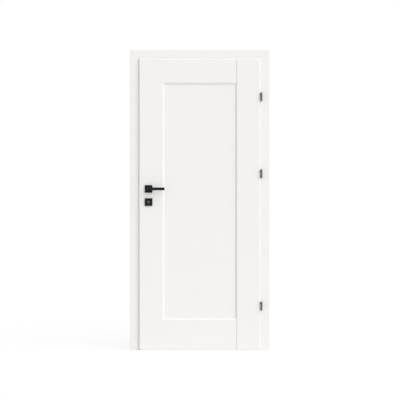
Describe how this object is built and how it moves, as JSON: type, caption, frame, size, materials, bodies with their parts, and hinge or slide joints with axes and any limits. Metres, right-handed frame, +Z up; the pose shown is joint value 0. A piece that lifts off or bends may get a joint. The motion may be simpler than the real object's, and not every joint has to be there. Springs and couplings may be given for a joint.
{
  "type": "interior door",
  "caption": "Interior door: a leaf with a recessed panel, hung on pin hinges in a wrap-round frame with casings, opened by a lever handle on each face.",
  "frame": {"origin": "the middle of the hinge jamb's foot, at floor level", "axes": "+Z up, +X along the wall towards the hinge side, +Y through the wall, away from the side the leaf opens to"},
  "size_m": [0.974, 0.2295, 2.097],
  "materials": {
    "white_paint": "satin white lacquer on board",
    "seal_rubber": "soft light grey",
    "black_coat": "matt black powder coat",
    "black_steel": "satin dark coating over steel",
    "zinc_steel": "zinc plated",
    "nickel": "satin nickel",
    "dark_nickel": "dark satin nickel"
  },
  "bodies": {
    "frame": {"hinge_jamb": "white_paint", "lock_jamb": "white_paint", "head_jamb": "white_paint", "front_casing_hinge_side": "white_paint", "front_casing_lock_side": "white_paint", "front_casing_head": "white_paint", "back_casing_hinge_side": "white_paint", "back_casing_lock_side": "white_paint", "back_casing_head": "white_paint", "seal_hinge_side": "seal_rubber", "seal_lock_side": "seal_rubber", "seal_head": "seal_rubber", "strike_plate": "zinc_steel", "lower_hinge_frame_part": "black_steel", "middle_hinge_frame_part": "black_steel", "upper_hinge_frame_part": "black_steel"},
    "leaf": {"lock_stile": "white_paint", "hinge_stile": "white_paint", "top_rail": "white_paint", "bottom_rail": "white_paint", "panel": "white_paint", "lower_hinge_leaf_part": "black_steel", "middle_hinge_leaf_part": "black_steel", "upper_hinge_leaf_part": "black_steel", "lock_forend": "zinc_steel", "latch_bolt": "nickel", "dead_bolt": "nickel", "front_lever_rosette": "black_coat", "back_lever_rosette": "black_coat", "front_cylinder_rosette": "black_coat", "back_cylinder_rosette": "black_coat", "cylinder_housing": "dark_nickel", "front_cylinder_plug": "dark_nickel", "back_cylinder_plug": "dark_nickel"},
    "lever_set": {"front_lever": "black_coat", "back_lever": "black_coat", "spindle": "zinc_steel"}
  },
  "joints": [
    {"name": "leaf_swing", "type": "hinge", "parent": "frame", "child": "leaf", "pos_m": [0.007, -0.1045, 0.309], "axis": [0, 0, 1], "range_deg": [0, 170]},
    {"name": "lever_turn", "type": "hinge", "parent": "leaf", "child": "lever_set", "pos_m": [-0.779, -0.0755, 1.125], "axis": [0, 1, 0], "range_deg": [0, 45], "stiffness_Nm_per_rad": 1.5, "springref_deg": -20.05}
  ]
}
